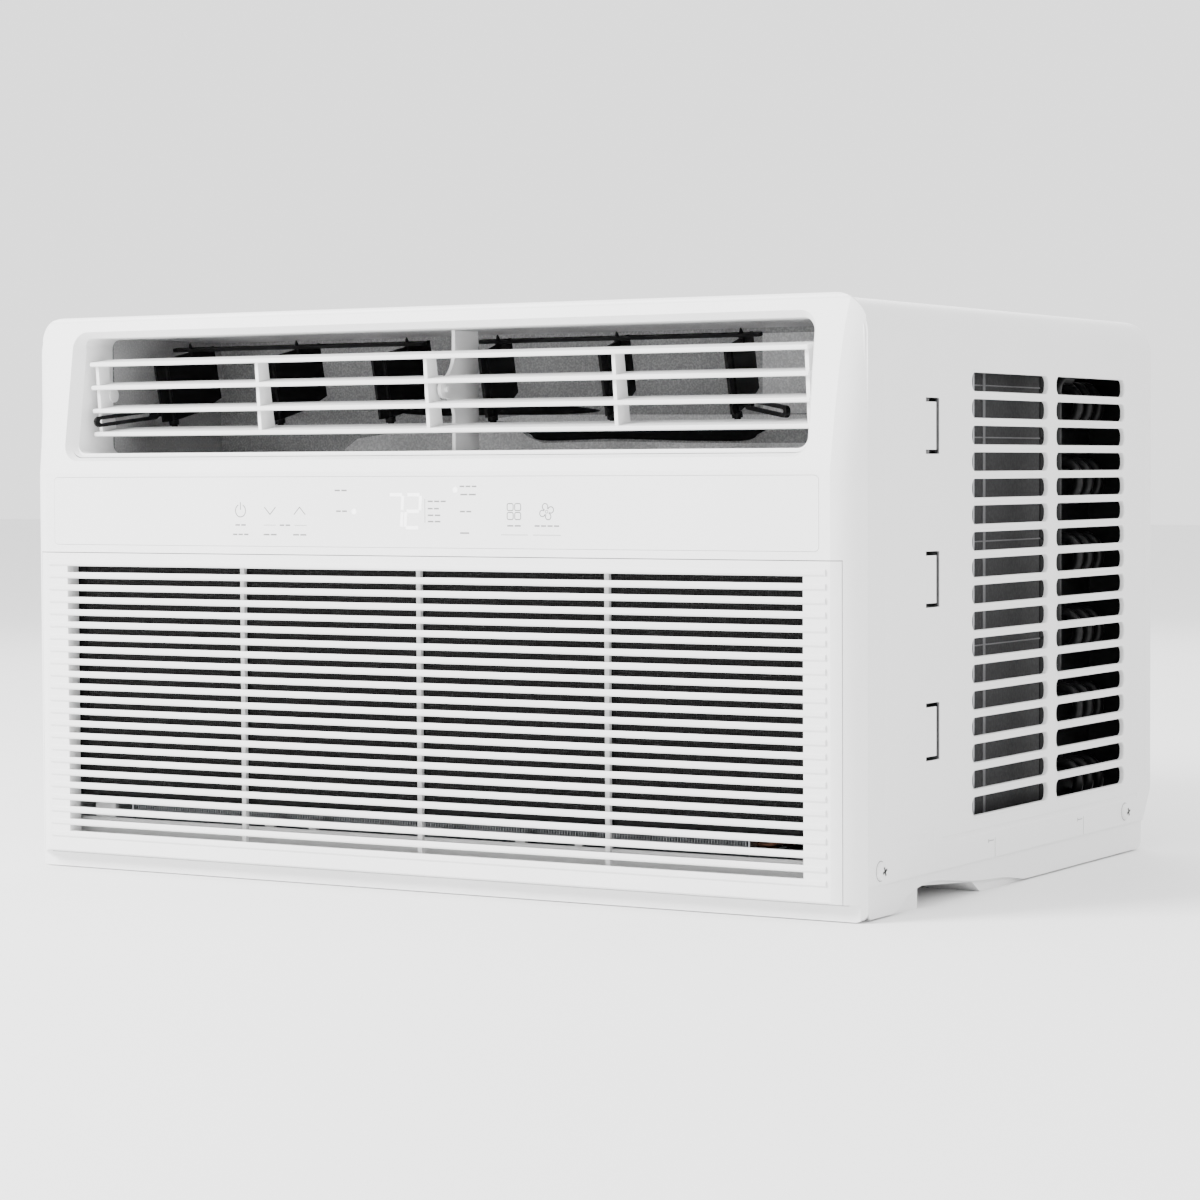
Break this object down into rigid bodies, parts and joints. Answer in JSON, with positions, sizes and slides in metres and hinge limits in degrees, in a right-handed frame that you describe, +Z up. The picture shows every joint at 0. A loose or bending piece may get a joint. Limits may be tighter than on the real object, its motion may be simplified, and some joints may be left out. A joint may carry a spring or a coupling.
{
  "type": "window air conditioner",
  "caption": "Window air conditioner with a slatted swing-down intake grille, a tilting outlet louvre over two banks of levered vanes, and a vented sheet-steel cabinet.",
  "frame": {"origin": "middle of the footprint, on the surface that the base pan rests on", "axes": "+Z up, +X along the width to the right as the room-side front is faced, room side towards -Y"},
  "size_m": [0.6056, 0.45, 0.3575],
  "materials": {
    "front_white": "fine-textured moulded ABS, satin",
    "cabinet_paint": "powder-coated sheet steel, satin",
    "overlay_film": "satin printed film",
    "circuit_board": "solder-masked board",
    "vane_black": "black moulded plastic",
    "duct_foam": "grey foam-lined plastic",
    "rail_grey": "light grey moulded plastic",
    "filter_plastic": "black moulded plastic",
    "filter_net": "fine black net",
    "fin_aluminium": "thin plain fins",
    "copper": "drawn copper tube",
    "plated_steel": "zinc-plated sheet",
    "coil_black": "black corrosion-proof coating",
    "baffle_grey": "dark sound-deadening sheet",
    "pan_white": "moulded polystyrene",
    "compressor_black": "black stove enamel",
    "cover_black": "black moulded plastic",
    "rubber_black": "moulded rubber",
    "motor_steel": "pressed steel can",
    "shaft_steel": "ground bar",
    "wheel_grey": "dark grey moulded plastic",
    "fan_black": "black moulded plastic",
    "can_aluminium": "drawn can",
    "thermistor_white": "plastic clip"
  },
  "bodies": {
    "chassis": {"accumulator": "copper", "base_pan": "cabinet_paint", "blower_scroll": "rail_grey", "bulkhead": "plated_steel", "cabinet_left": "cabinet_paint", "cabinet_right": "cabinet_paint", "cabinet_screws": "cabinet_paint", "cabinet_top": "cabinet_paint", "capillary_tube": "copper", "compressor_grommets": "rubber_black", "compressor_nuts": "plated_steel", "compressor_shell": "compressor_black", "condenser_end_plates": "coil_black", "condenser_fins": "fin_aluminium", "condenser_tubes": "coil_black", "control_box": "plated_steel", "control_box_cover": "plated_steel", "control_overlay": "overlay_film", "cord_inlet": "rubber_black", "discharge_line": "copper", "display_board": "circuit_board", "drain_pan": "pan_white", "duct_divider": "front_white", "evaporator_end_plates": "plated_steel", "evaporator_fins": "fin_aluminium", "evaporator_tubes": "copper", "fan_motor": "motor_steel", "fan_shroud": "coil_black", "front_bezel": "front_white", "motor_bracket": "plated_steel", "motor_screws": "plated_steel", "outlet_duct": "duct_foam", "run_capacitor": "can_aluminium", "side_baffles": "baffle_grey", "suction_line": "copper", "terminal_cover": "cover_black", "thermistor": "thermistor_white", "vane_rail": "rail_grey"},
    "louvre": {"louvre_grid": "front_white"},
    "vane_l1": {"vane_l1": "vane_black", "lever_left": "vane_black"},
    "vane_l2": {"vane_l2": "vane_black"},
    "vane_l3": {"vane_l3": "vane_black"},
    "vane_r1": {"vane_r1": "vane_black"},
    "vane_r2": {"vane_r2": "vane_black"},
    "vane_r3": {"vane_r3": "vane_black", "lever_right": "vane_black"},
    "link_left": {"link_left": "vane_black"},
    "link_right": {"link_right": "vane_black"},
    "grille": {"intake_grille": "front_white"},
    "filter": {"filter_frame": "filter_plastic", "filter_mesh": "filter_net"},
    "fan_rotor": {"fan_shaft": "shaft_steel", "blower_wheel": "wheel_grey", "condenser_fan": "fan_black", "shaft_nuts": "plated_steel"}
  },
  "joints": [
    {"name": "louvre_tilt", "type": "hinge", "parent": "chassis", "child": "louvre", "pos_m": [0, -0.187, 0.3074], "axis": [1, 0, 0], "range_deg": [-5, 5]},
    {"name": "vane_l1_swing", "type": "hinge", "parent": "chassis", "child": "vane_l1", "pos_m": [-0.232, -0.156, 0.291], "axis": [0, -0.225, 0.9744], "range_deg": [0, 40]},
    {"name": "vane_l2_swing", "type": "hinge", "parent": "chassis", "child": "vane_l2", "pos_m": [-0.146, -0.156, 0.291], "axis": [0, -0.225, 0.9744], "range_deg": [0, 40]},
    {"name": "vane_l3_swing", "type": "hinge", "parent": "chassis", "child": "vane_l3", "pos_m": [-0.06, -0.156, 0.291], "axis": [0, -0.225, 0.9744], "range_deg": [0, 40]},
    {"name": "vane_r3_swing", "type": "hinge", "parent": "chassis", "child": "vane_r3", "pos_m": [0.1885, -0.156, 0.291], "axis": [0, -0.225, 0.9744], "range_deg": [-10, 24]},
    {"name": "vane_r1_swing", "type": "hinge", "parent": "chassis", "child": "vane_r1", "pos_m": [0.0165, -0.156, 0.291], "axis": [0, -0.225, 0.9744], "range_deg": [-10, 24]},
    {"name": "vane_r2_swing", "type": "hinge", "parent": "chassis", "child": "vane_r2", "pos_m": [0.1025, -0.156, 0.291], "axis": [0, -0.225, 0.9744], "range_deg": [-10, 24]},
    {"name": "link_left_pivot", "type": "hinge", "parent": "vane_l1", "child": "link_left", "pos_m": [-0.22783, -0.14258, 0.33792], "axis": [0, -0.225, 0.9744], "range_deg": [-40, 0]},
    {"name": "link_right_pivot", "type": "hinge", "parent": "vane_r3", "child": "link_right", "pos_m": [0.18433, -0.14258, 0.33792], "axis": [0, -0.225, 0.9744], "range_deg": [-24, 10]},
    {"name": "grille_open", "type": "hinge", "parent": "chassis", "child": "grille", "pos_m": [0, -0.214, 0.018], "axis": [1, 0, 0], "range_deg": [0, 40]},
    {"name": "filter_slide", "type": "slide", "parent": "grille", "child": "filter", "axis": [0, 0, 1], "range_m": [0, 0.04]},
    {"name": "fan_spin", "type": "hinge", "parent": "chassis", "child": "fan_rotor", "pos_m": [-0.04, 0, 0.168], "axis": [0, 1, 0], "continuous": true}
  ],
  "couplings": [
    {"joint": "vane_l2_swing", "follows": "vane_l1_swing", "ratio": 1},
    {"joint": "vane_l3_swing", "follows": "vane_l1_swing", "ratio": 1},
    {"joint": "link_left_pivot", "follows": "vane_l1_swing", "ratio": -1},
    {"joint": "vane_r1_swing", "follows": "vane_r3_swing", "ratio": 1},
    {"joint": "vane_r2_swing", "follows": "vane_r3_swing", "ratio": 1},
    {"joint": "link_right_pivot", "follows": "vane_r3_swing", "ratio": -1}
  ]
}
